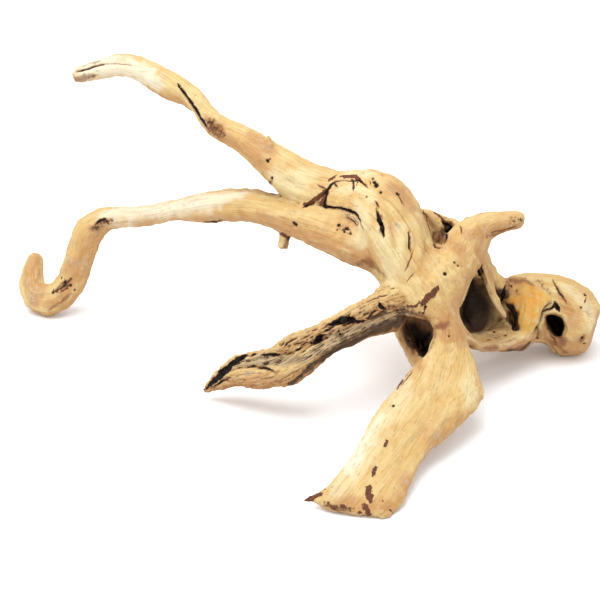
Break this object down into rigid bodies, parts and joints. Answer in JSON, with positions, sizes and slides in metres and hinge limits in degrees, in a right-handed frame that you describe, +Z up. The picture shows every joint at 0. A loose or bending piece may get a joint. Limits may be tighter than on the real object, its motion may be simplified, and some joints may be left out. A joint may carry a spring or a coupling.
{
  "type": "spiderwood root",
  "caption": "Bleached, many-limbed azalea root for aquascapes: a gnarled trunk with long limbs, a hook, a broad foot and a hollow sawn block.",
  "frame": {"origin": "centre of the bounding box's bottom face, on the surface that the root rests on", "axes": "+X from the hook's end to the sawn block, +Y away from the side of the foot, +Z up"},
  "size_m": [0.4338, 0.3001, 0.2026],
  "materials": {
    "bleached_root": "dry bleached root wood, cream to tan, with dark hollows and scraps of bark"
  },
  "bodies": {
    "root": {"spiderwood_root": "bleached_root"}
  },
  "joints": []
}
